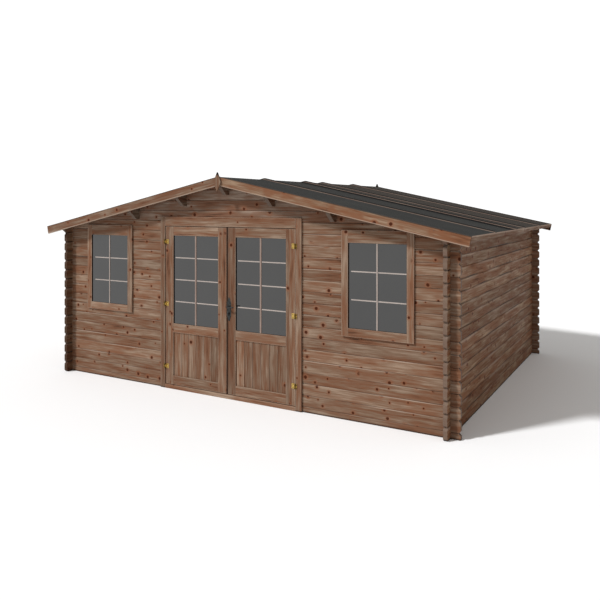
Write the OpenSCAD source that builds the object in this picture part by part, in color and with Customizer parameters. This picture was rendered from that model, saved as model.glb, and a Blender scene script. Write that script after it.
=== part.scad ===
// Log cabin with a low gable roof, a glazed double door and two fixed windows.
// The front faces -Y, +Z is up and the origin is on the ground under the middle of the cabin.
// Walls are interlocking logs: the front and rear walls start with a half log, so the logs of
// neighbouring walls cross in saddle notches half a course apart.

/* [Log walls] */
// Width of the cabin over the outer faces of the side walls
wall_w = 5000; // [4600:10:5600]
// Depth of the cabin over the outer faces of the front and rear walls
wall_d = 4000; // [2400:10:5200]
// Thickness of a log
log_t = 40; // [34:1:60]
// Height of one course of logs
course = 118; // [114:1:122]
// Fewest courses in a side wall, where no door or window needs more
side_courses = 16; // [16:1:18]
// How far the log ends stand past the crossing wall
stub = 95; // [60:1:130]
// How far the foot of a side wall's top log stands past the crossing wall
corbel_foot = 76; // [50:1:110]
// Bevel on the corners of each log end
end_bevel = 22; // [10:1:26]
// Bevel along the log edges, which makes the V joint
v_joint = 5; // [3:0.5:8]
// Width of the tongue on top of a log
tongue_w = 14; // [10:1:18]
// Height of the tongue
tongue_h = 7; // [5:1:10]

/* [Roof] */
// Pitch of the roof in degrees
pitch = 12; // [10:0.5:18]
// Thickness of the roof boards
roof_board_t = 18; // [15:1:22]
// Thickness of the felt
felt_t = 4; // [3:0.5:6]
// How far the roof boards run past the side walls, level
eave_reach = 218; // [150:1:280]
// How far the roof boards run past the front and rear walls
gable_reach = 150; // [120:5:240]
// Width of a purlin
purlin_w = 45; // [38:1:60]
// Height of a purlin
purlin_h = 170; // [140:5:190]
// How far a purlin's foot runs past the front and rear walls
purlin_foot = 50; // [20:5:100]
// Distance from the ridge to the upper purlin
upper_purlin_x = 595; // [450:5:750]
// Distance from the ridge to the lower purlin
lower_purlin_x = 1320; // [1150:5:1500]
// Width of a bargeboard across its face
barge_h = 98; // [80:1:130]
// Thickness of a bargeboard, and of a finial
barge_t = 20; // [16:1:25]
// How far a bargeboard stands above the felt
barge_proud = 4; // [0:1:10]
// Height of the diamond finial
finial_h = 212; // [180:2:260]
// How far the middle of the finial lies below the middle of the bargeboards
finial_drop = 10; // [0:1:20]
// Width of the diamond finial
finial_w = 96; // [80:2:140]
// Height of the strip along the eaves
eave_strip_h = 42; // [30:1:60]
// Thickness of the strip along the eaves
eave_strip_t = 14; // [10:1:20]
// Width of a roof batten
batten_w = 40; // [30:1:60]
// Thickness of a roof batten
batten_t = 18; // [12:1:25]
// Distance of the inner battens from the middle of the roof
inner_batten_y = 243; // [150:1:400]
// Distance of the outer battens from the middle of the roof
outer_batten_y = 1240; // [900:5:1300]

/* [Doorway] */
// Width of the door frame over its jambs
door_frame_w = 1900; // [1700:10:2000]
// Height of the door frame
door_frame_h = 1995; // [1970:1:2010]
// Most that the door frame stands above the side walls
door_rise = 150; // [60:1:200]
// Width of a door jamb on its face
door_jamb_w = 70; // [60:1:90]
// Height of the door head
door_head_h = 108; // [90:1:125]
// Height of the threshold
threshold_h = 46; // [30:1:60]
// How far the door and window frames stand out from the log faces
frame_proud = 20; // [15:1:28]
// How deep the logs sit in the frames
frame_groove = 25; // [15:1:35]
// How far the head grips the log over it
head_grip = 15; // [8:1:25]
// Width of the stop that the leaves close on
door_stop_w = 18; // [12:1:25]

/* [Door leaves] */
// Thickness of a leaf
leaf_t = 40; // [36:1:44]
// How far the leaf face lies behind the frame face
leaf_recess = 8; // [2:1:10]
// Gap between a leaf and the frame
leaf_gap = 6; // [5:0.5:8]
// Gap between the two leaves
meeting_gap = 10; // [9:0.5:14]
// Width of the hinge stiles and meeting stiles
stile_w = 114; // [90:1:130]
// Height of the top, middle and bottom rails
rail_h = 104; // [80:1:130]
// Height of the boarded panel
panel_h = 500; // [350:10:650]
// Thickness of the boarded panel
panel_t = 18; // [14:1:22]
// Number of boards in a panel
panel_boards = 6; // [4:1:8]
// Depth of the V between two boards
board_v = 4; // [2:0.5:5]
// Thickness of the glass
glass_t = 4; // [3:1:6]
// Distance from the face of a leaf to its glass
glass_set = 6; // [5:1:30]
// Depth of the grooves that hold panels and glass
pane_groove = 9; // [6:0.5:12]

/* [Windows] */
// Width of a window over its frame
window_w = 755; // [650:5:800]
// Height of a window over its frame
window_h = 1052; // [950:2:1060]
// Height of the underside of a window frame
window_z = 831; // [800:1:880]
// Distance from the middle of the cabin to the middle of a window
window_x = 1783; // [1720:1:1850]
// Width of a window jamb
window_jamb_w = 72; // [55:1:90]
// Height of a window head
window_head_h = 125; // [80:1:140]
// Height of a window sill rail
window_sill_h = 86; // [60:1:110]
// Distance from the face of a window frame to its glass
window_glass_set = 6; // [5:1:60]

/* [Door furniture] */
// Radius of a hinge barrel
hinge_r = 6.5; // [5.5:0.5:8]
// Height of a hinge barrel
hinge_h = 52; // [40:1:70]
// Height of the knuckle on the leaf
knuckle_h = 26; // [16:1:30]
// Width of the plate on the leaf
leaf_plate_w = 46; // [36:1:70]
// Width of the plate on the jamb
jamb_plate_w = 22; // [16:1:30]
// Radius of a hinge pin
pin_r = 3; // [2.5:0.5:4]
// Thickness of a hinge plate
plate_t = 3; // [2:0.5:4]
// Height of the bottom hinge above the foot of the leaf
hinge_low_z = 205; // [130:1:270]
// Height of the middle hinge above the ground
hinge_mid_z = 980; // [900:1:1050]
// Distance of the top hinge below the top of the leaf
hinge_top_z = 177; // [120:1:280]
// Radius of the ends of a handle plate
handle_tip_r = 9; // [6:1:14]
// Height of a handle plate's narrowing ends
handle_taper = 62; // [40:1:80]
// Width of a handle plate
handle_plate_w = 52; // [36:1:54]
// Height of a handle plate
handle_plate_h = 256; // [200:2:280]
// Distance of the middle of a handle plate below the lever's spindle
handle_plate_z = 32; // [20:1:50]
// Distance from the meeting edge to the lever's spindle
backset = 28; // [28:1:50]
// Radius of a keyhole
key_r = 5; // [4:0.5:6]
// Height of a keyhole below its round top
key_slot = 13; // [10:1:16]
// Distance from the spindle down to the keyhole
key_drop = 72; // [60:1:90]
// Height of the lever's spindle above the ground
spindle_z = 1017; // [980:1:1060]
// Length of the lever from its spindle
lever_l = 96; // [80:1:170]
// Radius of the lever's grip
lever_r = 8; // [6:0.5:10]
// How far the lever stands out from the leaf
lever_out = 66; // [40:1:68]
// Radius of the lever's elbow
elbow_r = 12; // [10:1:16]
// Radius of the spindle between the two levers
spindle_r = 4.5; // [4:0.5:6]

/* [Hidden] */

// Clearance between pieces that seat on each other
fit = 0.3;
// Gap in the bed joint between two logs
bed = 0.4;
// Running clearance of a pin in its knuckle
run = 0.4;
// A length past the end of any cut
over = 10;

half_w = wall_w / 2;
half_d = wall_d / 2;
door_courses = ceil((door_frame_h - door_rise) / course);
window_courses = ceil((window_z + window_h) / course);
wall_courses = max(side_courses, door_courses, window_courses);
wall_top = wall_courses * course;
notch = course / 4;
log_h = course - bed;
half_log_h = course / 2 - bed;
rise = tan(pitch);
ridge_z = wall_top + (half_w - log_t) * rise;
last_row = ceil((ridge_z - course / 2) / course) - 1;
roof_t = roof_board_t + fit + felt_t;
eave_x = half_w + eave_reach;
roof_y = half_d + gable_reach;
purlin_x = [upper_purlin_x, lower_purlin_x];

door_in = door_frame_w / 2 - door_jamb_w;
door_log_end = door_frame_w / 2 - frame_groove;
door_log_top = door_frame_h - head_grip;
wall_out = -half_d - fit;
wall_in = -half_d + log_t + fit;
frame_front = -half_d - frame_proud;
frame_back = -half_d + log_t + frame_proud;
leaf_front = frame_front + leaf_recess;
leaf_back = leaf_front + leaf_t;
leaf_side = door_in - leaf_gap;
leaf_meet = meeting_gap / 2;
leaf_low = threshold_h + leaf_gap;
head_low = door_frame_h - door_head_h;
stop_front = leaf_back + leaf_gap;
leaf_top = head_low - leaf_gap;
panel_low = leaf_low + rail_h;
glass_low = panel_low + panel_h + rail_h;
glass_top = leaf_top - rail_h;
light_w = leaf_side - leaf_meet - 2 * stile_w;
panel_front = leaf_front + (leaf_t - panel_t) / 2;
glass_front = leaf_front + glass_set;

hinge_x = door_in - leaf_gap / 2;
hinge_y = frame_front - hinge_r - fit;
hinge_zs = [leaf_low + hinge_low_z, hinge_mid_z, leaf_top - hinge_top_z];
spindle_x = leaf_meet + backset;

window_low_log = window_z + frame_groove;
window_top_log = window_z + window_h - frame_groove;

log_colour = "#87694f";
trim_colour = "#8f6d55";
felt_colour = "#434548";

// Height of the underside of the roof over the line x
function under(x) = ridge_z - abs(x) * rise;
// Half width of the gable at the height z
function gable_half(z) = (ridge_z - z) / rise;
// Height of the foot of a front or rear row, where row -1 is the half log
function row_z(row) = row < 0 ? 0 : (row + 0.5) * course;
function row_h(row) = row < 0 ? half_log_h : log_h;

// Points of a bevelled log end at the right, from the bottom up
function stub_end(x, h, low) =
    concat(low > 0 ? [[x - low, 0], [x, low]] : [[x, 0]], [[x, h - end_bevel], [x - end_bevel, h]]);
function square_end(x, h) = [[x, 0], [x, h]];
// The top log of a side wall runs out under the bargeboard and is cut back on a slant
function corbel_end(h) = [[half_d + corbel_foot, 0], [roof_y, h / 2], [roof_y, h]];
function flip(points) = [for (i = [len(points) - 1 : -1 : 0]) [-points[i].x, points[i].y]];
// Notch along the bottom edge from left to right, and along the top edge from right to left
function low_notch(x) = let (w = log_t / 2 + fit) [[x - w, 0], [x - w, notch], [x + w, notch], [x + w, 0]];
function top_notch(x, h) = let (w = log_t / 2 + fit, z = h + tongue_h)
    [[x + w, z], [x + w, h - notch], [x - w, h - notch], [x - w, z]];

// One log along X: its moulded section, cut to the outline of its ends and notches
module log(left, right, h, low_at, top_at, groove = true) {
    z = h + tongue_h;
    x0 = left[0].x;
    bottom = [for (x = low_at) each low_notch(x)];
    top = [for (x = top_at) each top_notch(x, h)];
    outline = concat(bottom, right, [[right[len(right) - 1].x, z]], top, [[x0, z]], left);
    long = max([for (p = outline) p.x]) - min([for (p = outline) p.x]);
    intersection() {
        translate([min([for (p = outline) p.x]), 0, 0])
            rotate([90, 0, 90])
                linear_extrude(long) log_section(h, groove);
        rotate([90, 0, 0])
            linear_extrude(log_t, center = true) polygon(outline);
    }
}

// Cross-section of a log: V bevels on its edges, a tongue on top and a groove below
module log_section(h, groove) {
    a = log_t / 2;
    b = a - v_joint;
    g = tongue_w / 2 + fit;
    w = tongue_w / 2;
    low = groove ? [[-a, v_joint], [-b, 0], [-g, 0], [-g, tongue_h + fit],
        [g, tongue_h + fit], [g, 0], [b, 0], [a, v_joint]] : [[-a, 0], [a, 0]];
    polygon(concat(low, [[a, h - v_joint], [b, h], [w, h], [w, h + tongue_h],
        [-w, h + tongue_h], [-w, h], [-b, h], [-a, h - v_joint]]));
}

// Everything under the roof boards
module under_roof() {
    x = eave_x + over;
    rotate([90, 0, 0])
        linear_extrude(2 * roof_y + 2 * over, center = true)
            polygon([[-x, 0], [x, 0], [x, under(x) - fit], [0, ridge_z - fit], [-x, under(x) - fit]]);
}

// Room for the purlins in the gable logs of the row
module purlin_slots(row) {
    top = row_z(row) + course + over;
    for (x = concat([0], purlin_x, -purlin_x)) {
        foot = under(x) - purlin_h - fit;
        if (row_z(row) + course + tongue_h > foot)
            translate([x - purlin_w / 2 - fit, -log_t, foot])
                cube([purlin_w + 2 * fit, 2 * log_t, top - foot]);
    }
}

// A whole row of the front or rear wall, from one side of the cabin to the other
module gable_row(row) {
    h = row_h(row);
    z = row_z(row);
    crossing = half_w - log_t / 2;
    crosses = row < wall_courses;
    right = crosses ? stub_end(half_w + stub, h, row < 0 ? 0 : end_bevel) : square_end(gable_half(z), h);
    at = crosses ? [-crossing, crossing] : [];
    difference() {
        intersection() {
            translate([0, 0, z])
                log(flip(right), right, h, row < 0 ? [] : at, [for (x = at) -x], row >= 0);
            if (z + course + tongue_h > under(right[0].x))
                under_roof();
        }
        purlin_slots(row);
    }
}

// Room for the right window in a front row
module window_cut(row) {
    if (row_z(row) + course > window_low_log && row_z(row) < window_top_log)
        translate([window_x - window_w / 2 + frame_groove, -log_t, window_low_log])
            cube([window_w - 2 * frame_groove, 2 * log_t, window_top_log - window_low_log]);
}

// A row of the front wall to the right of the doorway, cut round the window
module door_side_row(row) {
    h = row_h(row);
    z = row_z(row);
    crossing = half_w - log_t / 2;
    right = stub_end(half_w + stub, h, row < 0 ? 0 : end_bevel);
    difference() {
        intersection() {
            translate([0, 0, z])
                log([[door_log_end, h], [door_log_end, 0]], right, h, row < 0 ? [] : [crossing], [crossing],
                    row >= 0);
            if (z + course + tongue_h > under(half_w + stub))
                under_roof();
        }
        window_cut(row);
        purlin_slots(row);
    }
}

function beside_door(row) = row_z(row) + course <= door_log_top;
module front_logs_right() {
    color(log_colour)
        translate([0, -half_d + log_t / 2, 0])
            for (row = [-1 : last_row])
                if (beside_door(row)) door_side_row(row);
}
module front_logs_left() {
    mirror([1, 0, 0]) front_logs_right();
}
module front_gable_logs() {
    color(log_colour)
        translate([0, -half_d + log_t / 2, 0])
            for (row = [-1 : last_row])
                if (!beside_door(row))
                    difference() {
                        gable_row(row);
                        translate([-door_log_end, -log_t, 0])
                            cube([2 * door_log_end, 2 * log_t, door_log_top + fit]);
                        window_cut(row);
                        mirror([1, 0, 0]) window_cut(row);
                    }
}
module rear_wall_logs() {
    color(log_colour)
        translate([0, half_d - log_t / 2, 0])
            for (row = [-1 : wall_courses - 1]) gable_row(row);
}
module rear_gable_logs() {
    color(log_colour)
        translate([0, half_d - log_t / 2, 0])
            for (row = [wall_courses : last_row]) gable_row(row);
}

// A side wall: full logs, with the top one running out to carry the bargeboards
module right_wall_logs() {
    crossing = half_d - log_t / 2;
    at = [-crossing, crossing];
    color(log_colour)
        for (k = [0 : wall_courses - 1]) {
            top = k == wall_courses - 1;
            right = top ? corbel_end(log_h) : stub_end(half_d + stub, log_h, end_bevel);
            intersection() {
                translate([half_w - log_t / 2, 0, k * course])
                    rotate([0, 0, 90])
                        log(flip(right), right, log_h, at, [for (y = at) -y], k > 0);
                if (top) under_roof();
            }
        }
}
module left_wall_logs() {
    mirror([1, 0, 0]) right_wall_logs();
}

// A purlin that runs out to the bargeboards, cut back on a slant under them
module purlin(x) {
    foot = under(x) - purlin_h;
    face = purlin_h / 2;
    intersection() {
        translate([x, 0, 0])
            rotate([90, 0, 90])
                linear_extrude(purlin_w, center = true)
                    polygon([[-half_d - purlin_foot, foot], [half_d + purlin_foot, foot],
                        [roof_y, foot + face], [roof_y, foot + 2 * purlin_h],
                        [-roof_y, foot + 2 * purlin_h], [-roof_y, foot + face]]);
        under_roof();
    }
}
module ridge_purlin() {
    color(log_colour) purlin(0);
}
module side_purlins() {
    color(log_colour)
        for (x = concat(purlin_x, -purlin_x)) purlin(x);
}

// A layer of the right roof slope, between two heights square to the roof boards, from y0 to y1
module slope_layer(low, high, y0, y1, end_x) {
    foot = [end_x, under(end_x)];
    up = [sin(pitch), cos(pitch)];
    translate([0, y1, 0])
        rotate([90, 0, 0])
            linear_extrude(y1 - y0)
                polygon([[fit, under(fit) + low / cos(pitch)], foot + low * up,
                    foot + high * up, [fit, under(fit) + high / cos(pitch)]]);
}
module roof_boards_right() {
    color(trim_colour) slope_layer(0, roof_board_t, -roof_y, roof_y, eave_x);
}
module roof_boards_left() {
    mirror([1, 0, 0]) roof_boards_right();
}
module roof_felt_right() {
    color(felt_colour) slope_layer(roof_board_t + fit, roof_t, -roof_y, roof_y, eave_x);
}
module roof_felt_left() {
    mirror([1, 0, 0]) roof_felt_right();
}
module roof_battens_right() {
    color(trim_colour)
        for (y = [-outer_batten_y, -inner_batten_y, inner_batten_y, outer_batten_y])
            slope_layer(roof_t + fit, roof_t + fit + batten_t, y - batten_w / 2, y + batten_w / 2, eave_x);
}
module roof_battens_left() {
    mirror([1, 0, 0]) roof_battens_right();
}

// A strip along the ends of the roof boards, its top level with the felt
module eave_strip_right() {
    color(trim_colour)
        translate([eave_x, roof_y, under(eave_x)])
            rotate([90, pitch, 0])
                linear_extrude(2 * roof_y)
                    translate([fit, roof_t - eave_strip_h]) square([eave_strip_t, eave_strip_h]);
}
module eave_strip_left() {
    mirror([1, 0, 0]) eave_strip_right();
}

// A board along the gable end of the roof, cut upright at the ridge and square at the eaves
module bargeboard(side) {
    top = roof_t + barge_proud;
    y0 = side < 0 ? -roof_y - fit - barge_t : roof_y + fit;
    end_x = eave_x + (fit + eave_strip_t) * cos(pitch);
    color(trim_colour) slope_layer(top - barge_h, top, y0, y0 + barge_t, end_x);
}
module bargeboard_front_right() {
    bargeboard(-1);
}
module bargeboard_front_left() {
    mirror([1, 0, 0]) bargeboard(-1);
}
module bargeboard_rear_right() {
    bargeboard(1);
}
module bargeboard_rear_left() {
    mirror([1, 0, 0]) bargeboard(1);
}

// A diamond board over the joint of two bargeboards
module finial(side) {
    middle = ridge_z + (roof_t + barge_proud - barge_h / 2) / cos(pitch) - finial_drop;
    y0 = side < 0 ? -roof_y - 2 * fit - 2 * barge_t : roof_y + 2 * fit + barge_t;
    color(trim_colour)
        translate([0, y0 + barge_t, middle])
            rotate([90, 0, 0])
                linear_extrude(barge_t)
                    polygon([[0, finial_h / 2], [finial_w / 2, 0], [0, -finial_h / 2], [-finial_w / 2, 0]]);
}
module finial_front() {
    finial(-1);
}
module finial_rear() {
    finial(1);
}

// A door jamb: a post with a groove that grips the log ends
module door_jamb_right() {
    web = door_log_end - fit;
    edge = door_frame_w / 2;
    color(trim_colour)
        difference() {
            linear_extrude(door_frame_h)
                polygon([[door_in, frame_front], [edge, frame_front], [edge, wall_out], [web, wall_out],
                    [web, wall_in], [edge, wall_in], [edge, frame_back], [door_in, frame_back]]);
            translate([0, wall_out, door_log_top - fit])
                cube([edge + over, wall_in - wall_out, head_grip + over]);
        }
}
module door_jamb_left() {
    mirror([1, 0, 0]) door_jamb_right();
}
// The head sits between the jambs and grips the log over the doorway
module door_head() {
    web = door_log_top - fit;
    inner = door_in - fit;
    color(trim_colour)
        translate([-inner, 0, 0])
            rotate([90, 0, 90])
                linear_extrude(2 * inner)
                    polygon([[frame_front, head_low], [frame_back, head_low], [frame_back, door_frame_h],
                        [wall_in, door_frame_h], [wall_in, web], [wall_out, web], [wall_out, door_frame_h],
                        [frame_front, door_frame_h]]);
}
// Strips on the jambs and under the head, which the leaves close on
module door_stops() {
    inner = door_in - fit;
    deep = frame_back - stop_front;
    low = threshold_h + fit;
    color(trim_colour) {
        for (side = [0, 1])
            mirror([side, 0, 0])
                translate([inner - door_stop_w, stop_front, low])
                    cube([door_stop_w, deep, head_low - fit - low]);
        translate([door_stop_w + fit - inner, stop_front, head_low - fit - door_stop_w])
            cube([2 * (inner - door_stop_w - fit), deep, door_stop_w]);
    }
}
module door_threshold() {
    inner = door_in - fit;
    color(trim_colour)
        translate([-inner, frame_front, 0])
            cube([2 * inner, frame_back - frame_front, threshold_h]);
}

// A sheet that fills a light of the right leaf and the grooves round it, grown on every side
module leaf_sheet(z0, z1, front, thick, grow) {
    edge = pane_groove + grow;
    translate([leaf_meet + stile_w - edge, front - grow, z0 - edge])
        cube([light_w + 2 * edge, thick + 2 * grow, z1 - z0 + 2 * edge]);
}
// A stile or rail of the right leaf, from x0 to x1 and from z0 to z1, grooved for the panel and the glass
module leaf_bar(x0, x1, z0, z1) {
    difference() {
        translate([x0, leaf_front, z0])
            cube([x1 - x0, leaf_t, z1 - z0]);
        leaf_sheet(panel_low, panel_low + panel_h, panel_front, panel_t, fit);
        leaf_sheet(glass_low, glass_top, glass_front, glass_t, fit);
    }
}
// The stile at the meeting edge, from top to bottom of the leaf
module meeting_stile() {
    leaf_bar(leaf_meet, leaf_meet + stile_w, leaf_low, leaf_top);
}
// The hinge stile, and the three rails between the stiles
module leaf_bars() {
    x0 = leaf_meet + stile_w + fit;
    x1 = leaf_side - stile_w - fit;
    leaf_bar(leaf_side - stile_w, leaf_side, leaf_low, leaf_top);
    leaf_bar(x0, x1, leaf_low, panel_low);
    leaf_bar(x0, x1, panel_low + panel_h, glass_low);
    leaf_bar(x0, x1, glass_top, leaf_top);
}
// The right leaf's meeting stile is bored for the spindle
module right_leaf_frame() {
    color(trim_colour) {
        difference() {
            meeting_stile();
            spindle(spindle_r + run);
        }
        leaf_bars();
    }
}
module left_leaf_frame() {
    color(trim_colour)
        mirror([1, 0, 0]) {
            meeting_stile();
            leaf_bars();
        }
}
// Upright boards side by side, with a V at each joint on both faces
module right_leaf_panel() {
    step = light_w / panel_boards;
    a = panel_t / 2;
    left = -pane_groove;
    right = light_w + pane_groove;
    front = [for (i = [1 : panel_boards - 1]) each
        [[i * step - board_v, -a], [i * step, board_v - a], [i * step + board_v, -a]]];
    back = [for (i = [panel_boards - 1 : -1 : 1]) each
        [[i * step + board_v, a], [i * step, a - board_v], [i * step - board_v, a]]];
    color(log_colour)
        translate([leaf_meet + stile_w, panel_front + a, panel_low - pane_groove])
            linear_extrude(panel_h + 2 * pane_groove)
                polygon(concat([[left, -a]], front, [[right, -a], [right, a]], back, [[left, a]]));
}
module left_leaf_panel() {
    mirror([1, 0, 0]) right_leaf_panel();
}
module right_leaf_glass() {
    color("#5a5b5b") leaf_sheet(glass_low, glass_top, glass_front, glass_t, 0);
}
module left_leaf_glass() {
    mirror([1, 0, 0]) right_leaf_glass();
}

// A hinge on the right jamb: a plate with two knuckles on a pin
module frame_hinge(z) {
    knuckle = (hinge_h - knuckle_h) / 2;
    clear = hinge_r + run;
    translate([hinge_x, hinge_y, z]) {
        cylinder(r = pin_r, h = hinge_h, center = true, $fn = 32);
        translate([clear, hinge_r - plate_t, -hinge_h / 2])
            cube([jamb_plate_w - clear, plate_t, hinge_h]);
        for (side = [-1, 1])
            translate([0, 0, side * (hinge_h - knuckle) / 2]) {
                cylinder(r = hinge_r, h = knuckle, center = true, $fn = 32);
                translate([0, hinge_r - plate_t, -knuckle / 2])
                    cube([jamb_plate_w, plate_t, knuckle]);
            }
    }
}
module frame_hinges() {
    color("#c49a4a")
        for (z = hinge_zs) {
            frame_hinge(z);
            mirror([1, 0, 0]) frame_hinge(z);
        }
}
// The other half of a hinge: a knuckle round the pin and a plate on the face of the leaf
module leaf_hinge(z) {
    back = leaf_front - fit;
    high = knuckle_h - 2 * run;
    neck = hinge_r * 2;
    mid_wall = (pin_r + hinge_r) / 2;
    translate([0, 0, z])
        difference() {
            union() {
                translate([hinge_x, hinge_y, 0]) cylinder(r = hinge_r, h = high, center = true, $fn = 32);
                translate([hinge_x - neck, hinge_y, -high / 2])
                    cube([neck - mid_wall, back - hinge_y, high]);
                translate([hinge_x - leaf_plate_w, back - plate_t, -hinge_h / 2])
                    cube([leaf_plate_w - hinge_r - run, plate_t, hinge_h]);
            }
            translate([hinge_x, hinge_y, 0])
                cylinder(r = pin_r + run, h = hinge_h + over, center = true, $fn = 32);
        }
}
module right_leaf_hinges() {
    color("#c49a4a")
        for (z = hinge_zs) leaf_hinge(z);
}
module left_leaf_hinges() {
    mirror([1, 0, 0]) right_leaf_hinges();
}

// The outline of a handle plate: straight sides, then ends that narrow to a round tip
module plate_outline() {
    side = handle_plate_w / 2;
    straight = handle_plate_h / 2 - handle_taper;
    tip = handle_plate_h / 2 - handle_tip_r;
    polygon([[side, -straight], [side, straight], [handle_tip_r, tip], [-handle_tip_r, tip],
        [-side, straight], [-side, -straight], [-handle_tip_r, -tip], [handle_tip_r, -tip]]);
    for (z = [-tip, tip])
        translate([0, z]) circle(r = handle_tip_r, $fn = 32);
}
// Long plates on both faces of the right leaf, each with a keyhole below the lever
module handle_plate() {
    linear_extrude(plate_t)
        difference() {
            translate([0, -handle_plate_z]) plate_outline();
            translate([0, -key_drop]) circle(r = key_r, $fn = 32);
            translate([-key_r / 2, -key_drop - key_slot]) square([key_r, key_slot]);
            circle(r = lever_r + run, $fn = 32);
        }
}
module handle_plates() {
    color("#2b2c2d") {
        translate([spindle_x, leaf_front - fit, spindle_z])
            rotate([90, 0, 0]) handle_plate();
        translate([spindle_x, leaf_back + fit + plate_t, spindle_z])
            rotate([90, 0, 0]) handle_plate();
    }
}
// The spindle through the leaf, into the necks of both levers
module spindle(r) {
    translate([spindle_x, leaf_front - over, spindle_z])
        rotate([-90, 0, 0])
            cylinder(r = r, h = leaf_t + 2 * over, $fn = 32);
}
// A lever on one face: a neck out of the plate, a round elbow and a grip with a domed end
module lever_side(face, out) {
    bend = lever_out - lever_r - elbow_r;
    translate([spindle_x, face, spindle_z])
        rotate([out * 90, 0, 0]) {
            cylinder(r = lever_r, h = bend, $fn = 32);
            translate([elbow_r, 0, bend])
                rotate([90, 0, 0])
                    rotate([0, 0, 90])
                        rotate_extrude(angle = 90, $fn = 64)
                            translate([elbow_r, 0]) circle(r = lever_r, $fn = 32);
            translate([elbow_r, 0, bend + elbow_r])
                rotate([0, 90, 0])
                    cylinder(r = lever_r, h = lever_l - elbow_r - lever_r, $fn = 32);
            translate([lever_l - lever_r, 0, bend + elbow_r]) sphere(r = lever_r, $fn = 32);
        }
}
module handle_lever() {
    color("#2b2c2d") {
        lever_side(leaf_front - fit, 1);
        lever_side(leaf_back + fit, -1);
        spindle(spindle_r);
    }
}

// A window frame: jambs that grip the log ends, with a head and a sill rail between them
module right_window_frame() {
    edge = window_w / 2;
    inner = edge - window_jamb_w;
    web = edge - frame_groove - fit;
    color(trim_colour)
        translate([window_x, 0, window_z]) {
            for (side = [0, 1])
                mirror([side, 0, 0])
                    difference() {
                        linear_extrude(window_h)
                            polygon([[inner, frame_front], [edge, frame_front], [edge, wall_out],
                                [web, wall_out], [web, wall_in], [edge, wall_in], [edge, frame_back],
                                [inner, frame_back]]);
                        for (z = [-over, window_h - frame_groove - fit])
                            translate([0, wall_out, z])
                                cube([edge + over, wall_in - wall_out, frame_groove + fit + over]);
                        window_sheet(fit);
                    }
            window_rail(inner - fit, 0, window_sill_h, -frame_groove);
            window_rail(inner - fit, window_h - window_head_h, window_h, frame_groove);
        }
}
// The glass of a window in the grooves of its frame, grown on every side
module window_sheet(grow) {
    edge = pane_groove + grow;
    half = window_w / 2 - window_jamb_w + edge;
    high = window_h - window_sill_h - window_head_h + 2 * edge;
    translate([-half, frame_front + window_glass_set - grow, window_sill_h - edge])
        cube([2 * half, glass_t + 2 * grow, high]);
}
// A rail between the window jambs; its outer edge grips the logs over the depth of grip
module window_rail(half, z0, z1, grip) {
    slot_z = grip > 0 ? z1 - grip - fit : z0 - over;
    difference() {
        translate([-half, frame_front, z0])
            cube([2 * half, frame_back - frame_front, z1 - z0]);
        translate([-half - over, wall_out, slot_z])
            cube([2 * half + 2 * over, log_t + 2 * fit, abs(grip) + fit + over]);
        window_sheet(fit);
    }
}
module left_window_frame() {
    mirror([1, 0, 0]) right_window_frame();
}
module right_window_glass() {
    color("#62625f")
        translate([window_x, 0, window_z]) window_sheet(0);
}
module left_window_glass() {
    mirror([1, 0, 0]) right_window_glass();
}

front_logs_left();
front_logs_right();
front_gable_logs();
rear_wall_logs();
rear_gable_logs();
left_wall_logs();
right_wall_logs();
ridge_purlin();
side_purlins();
roof_boards_left();
roof_boards_right();
roof_felt_left();
roof_felt_right();
roof_battens_left();
roof_battens_right();
eave_strip_left();
eave_strip_right();
bargeboard_front_left();
bargeboard_front_right();
bargeboard_rear_left();
bargeboard_rear_right();
finial_front();
finial_rear();
door_jamb_left();
door_jamb_right();
door_head();
door_stops();
door_threshold();
frame_hinges();
left_leaf_frame();
left_leaf_panel();
left_leaf_glass();
left_leaf_hinges();
right_leaf_frame();
right_leaf_panel();
right_leaf_glass();
right_leaf_hinges();
handle_plates();
handle_lever();
left_window_frame();
left_window_glass();
right_window_frame();
right_window_glass();
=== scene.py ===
import math
import bpy
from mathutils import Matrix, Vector


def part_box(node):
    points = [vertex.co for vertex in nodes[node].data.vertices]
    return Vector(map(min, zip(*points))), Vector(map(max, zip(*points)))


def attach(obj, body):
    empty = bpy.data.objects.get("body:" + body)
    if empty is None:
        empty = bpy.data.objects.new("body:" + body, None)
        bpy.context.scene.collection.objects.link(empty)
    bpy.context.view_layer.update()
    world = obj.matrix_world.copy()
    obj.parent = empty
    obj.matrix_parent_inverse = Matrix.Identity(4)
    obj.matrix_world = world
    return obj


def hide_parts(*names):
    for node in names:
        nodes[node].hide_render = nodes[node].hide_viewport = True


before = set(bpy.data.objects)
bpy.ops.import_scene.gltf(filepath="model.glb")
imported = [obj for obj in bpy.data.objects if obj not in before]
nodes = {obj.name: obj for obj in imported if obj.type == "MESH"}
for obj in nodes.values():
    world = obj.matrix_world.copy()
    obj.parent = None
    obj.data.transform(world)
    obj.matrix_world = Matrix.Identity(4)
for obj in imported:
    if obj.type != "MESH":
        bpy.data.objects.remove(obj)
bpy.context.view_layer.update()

# Wall logs. Squared softwood logs, planed and pressure-treated brown, each with a tongue above, a groove
# below and a V along the joint. They stack dry, and their ends cross in saddle notches at the corners.
course = 0.118
half_log = course / 2
wall_face = 2.0


def step(tree, kind, inputs=None, **settings):
    """One shader step: its settings, then its inputs, each a plain value or the outcome of another step."""
    made = tree.nodes.new("ShaderNode" + kind)
    for key, value in settings.items():
        setattr(made, key, value)
    for key, value in (inputs or {}).items():
        if isinstance(value, bpy.types.NodeSocket):
            tree.links.new(value, made.inputs[key])
        else:
            made.inputs[key].default_value = value
    return made


def calc(tree, operation, *values):
    return step(tree, "Math", dict(enumerate(values)), operation=operation).outputs[0]


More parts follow.
